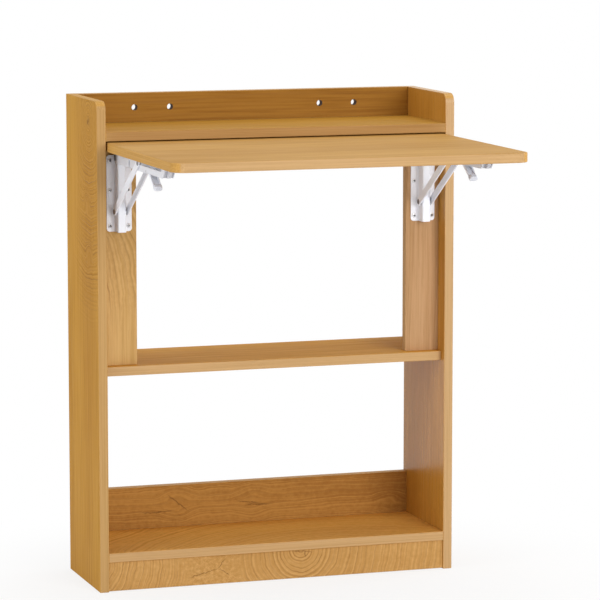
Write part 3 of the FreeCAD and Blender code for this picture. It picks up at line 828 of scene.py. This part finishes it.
def pan_screw(low, high):
    """Screw facing the front, with a domed pan head and a cross recess."""
    radius, shank = (high.x - low.x) / 2, high.y - low.y - SCREW_HEAD_HEIGHT
    profile = [(0, -shank), (SCREW_RADIUS, SCREW_RADIUS - shank), (SCREW_RADIUS, 0), (radius, 0)]
    profile += dome(radius, SCREW_RIM_HEIGHT, SCREW_HEAD_HEIGHT - SCREW_RIM_HEIGHT)
    mesh = recessed(turned(profile), SCREW_HEAD_HEIGHT)
    seat = Vector(((low.x + high.x) / 2, low.y + SCREW_HEAD_HEIGHT, (low.z + high.z) / 2))
    mesh.transform(Matrix.Translation(seat) @ Matrix.Rotation(math.pi / 2, 4, "X"))
    return mesh


def body_of(node):
    bodies = frame["record"]["behaviour"]["bodies"]
    return next(body for body, members in bodies.items() if node in members)


def stand_for(node, name, finish, meshes):
    """One steel piece made of several bmeshes, in place of a CAD node."""
    whole = bmesh.new()
    for mesh in meshes:
        data = bpy.data.meshes.new(name)
        mesh.to_mesh(data)
        mesh.free()
        whole.from_mesh(data)
        bpy.data.meshes.remove(data)
    piece = shown(whole, name)
    piece.data.shade_smooth()
    piece.data.set_sharp_from_angle(angle=SMOOTH_ANGLE)
    piece.data.materials.append(finish)
    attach(piece, body_of(node))
    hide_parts(node)


for side in SIDES:
    stem = side + "_bracket_"
    rivets, screws = stem + "strut_rivets", stem + "base_screws"
    middle = sum(corner.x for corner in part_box(stem + "base")) / 2
    for pin in ("hinge_pin", "strut_pin"):
        stand_for(stem + pin, stem + "domed_" + pin, rivet_steel_dim_reflection,
                  [double_rivet(*box) for box in solid_boxes(stem + pin)])
    stand_for(rivets, stem + "domed_strut_rivets", rivet_steel_dim_reflection,
              [single_rivet(*box, 1 if box[0].x > middle else -1) for box in solid_boxes(rivets)])
    stand_for(screws, stem + "pan_head_screws", bright_screw,
              [pan_screw(*box) for box in solid_boxes(screws)])


# Floor, light and camera

WHITE = (1, 1, 1, 1)
FLOOR_GREY = (0.86, 0.86, 0.86, 1)
FLOOR_REACH = 30
SHADOW_REACH = (0.3, 0.75)
SHADOW_WHITE_SHARE = 0.78
SKY_COLOUR = (1.0, 0.99, 0.98, 1)
SKY_STRENGTH = 0.45

# Lamps that face the part: place, width and watts
LAMPS = {
    "key": ((1.2, -4.4, 1.7), 2.4, 140),
    "fill": ((-3.6, -0.6, 1.5), 2.0, 52),
    "top": ((0.2, 0.4, 3.2), 2.4, 30),
    "rim": ((3.4, 0.6, 1.4), 1.6, 40),
}
LAMP_TARGET = (0, 0.1, 0.45)

# Camera: the photograph's place, turn and dip in degrees, and lens in millimetres
CAMERA_PLACE = (-1.6119, -4.9045, 1.1584)
CAMERA_TURN = 18.255
CAMERA_DIP = 7.577
CAMERA_LENS = 197.6
CAMERA_CLIP = (0.1, 100)


def floor():
    """White floor: soft shadows show near the object, and further off it is plain white."""
    mesh = bpy.data.meshes.new("floor")
    corners = [(x * FLOOR_REACH, y * FLOOR_REACH, 0) for x, y in ((-1, -1), (1, -1), (1, 1), (-1, 1))]
    mesh.from_pydata(corners, [], [(0, 1, 2, 3)])
    paper = material("floor_paper")
    reach = paper.add("VectorMath", {0: paper.place()}, output="Value", operation="LENGTH")
    share = paper.times(paper.seen(), paper.ramp(reach, *SHADOW_REACH, SHADOW_WHITE_SHARE, 1.0))
    lit = paper.add("BsdfDiffuse", {"Color": FLOOR_GREY})
    white = paper.add("Emission", {"Color": WHITE, "Strength": 1.0})
    paper.add("OutputMaterial", {"Surface": paper.add("MixShader", {0: share, 1: lit, 2: white})})
    mesh.materials.append(paper.owner)
    placed("floor", mesh)


def surroundings():
    """Plain studio: soft grey-white light all round, white where it is seen."""
    scene.world = bpy.data.worlds.new("studio")
    studio = Shader(scene.world)
    soft = studio.add("Background", {"Color": SKY_COLOUR, "Strength": SKY_STRENGTH})
    white = studio.add("Background", {"Color": WHITE, "Strength": 1.0})
    studio.add("OutputWorld", {"Surface": studio.add("MixShader", {0: studio.seen(), 1: soft, 2: white})})


def softbox(name, place, width, watts):
    """Square lamp that faces the part."""
    lamp = bpy.data.lights.new(name, "AREA")
    lamp.shape = "SQUARE"
    lamp.size = width
    lamp.energy = watts
    holder = placed(name, lamp)
    holder.location = place
    holder.rotation_euler = (Vector(LAMP_TARGET) - Vector(place)).to_track_quat("-Z", "Y").to_euler()


def camera():
    lens = bpy.data.cameras.new("camera")
    lens.lens = CAMERA_LENS
    lens.clip_start, lens.clip_end = CAMERA_CLIP
    holder = placed("camera", lens)
    holder.location = CAMERA_PLACE
    holder.rotation_euler = (math.radians(90 - CAMERA_DIP), 0, math.radians(-CAMERA_TURN))
    scene.camera = holder


floor()
surroundings()
for name, (place, width, watts) in LAMPS.items():
    softbox(name, place, width, watts)
camera()
scene.view_settings.view_transform = "Standard"
